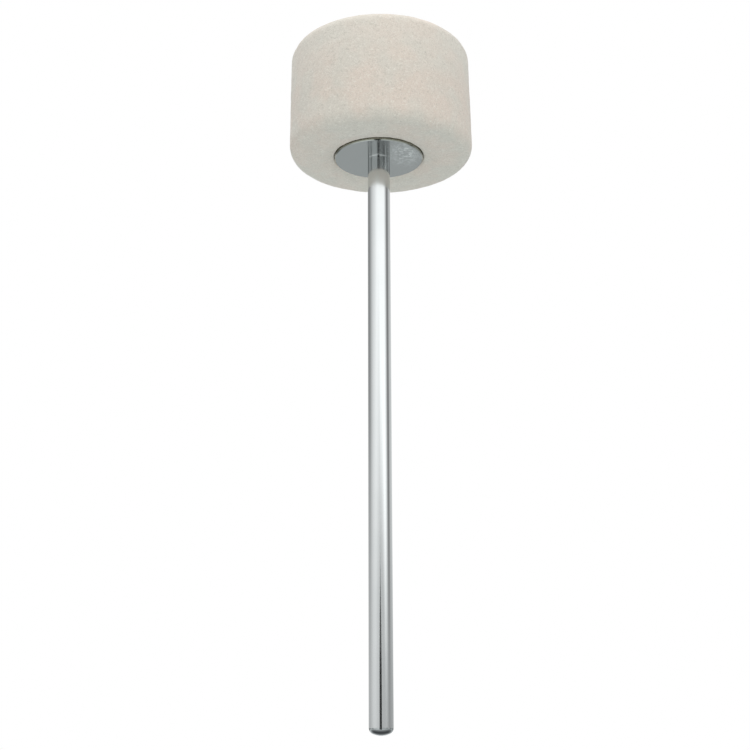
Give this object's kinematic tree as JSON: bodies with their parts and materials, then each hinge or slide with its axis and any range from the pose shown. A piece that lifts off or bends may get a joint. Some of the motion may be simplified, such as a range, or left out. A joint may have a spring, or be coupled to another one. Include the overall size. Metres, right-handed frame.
{
  "type": "bass drum beater",
  "caption": "Bass drum beater: a round pressed-felt head clamped between steel plates on a straight chrome shaft that a pedal's clamp grips to strike the drum.",
  "frame": {"origin": "point on the shaft's axis where the pedal's beater clamp grips it, 30 mm above the end of the domed tip", "axes": "+Z along the shaft from the tip to the felt head; X and Y are square to it, with X through a corner of the nut"},
  "size_m": [0.066, 0.066, 0.2505],
  "materials": {
    "chrome": "polished chrome plate on steel",
    "felt": "dense pressed wool felt, undyed off-white",
    "zinc": "bright zinc-plated steel"
  },
  "bodies": {
    "shaft": {"shaft": "chrome", "lock_washer": "zinc", "nut": "zinc"},
    "head": {"felt_head": "felt", "lower_plate": "chrome", "upper_plate": "chrome"}
  },
  "joints": [
    {"name": "head_turn", "type": "hinge", "parent": "shaft", "child": "head", "pos_m": [0, 0, 0.1709], "axis": [0, 0, 1], "continuous": true}
  ]
}
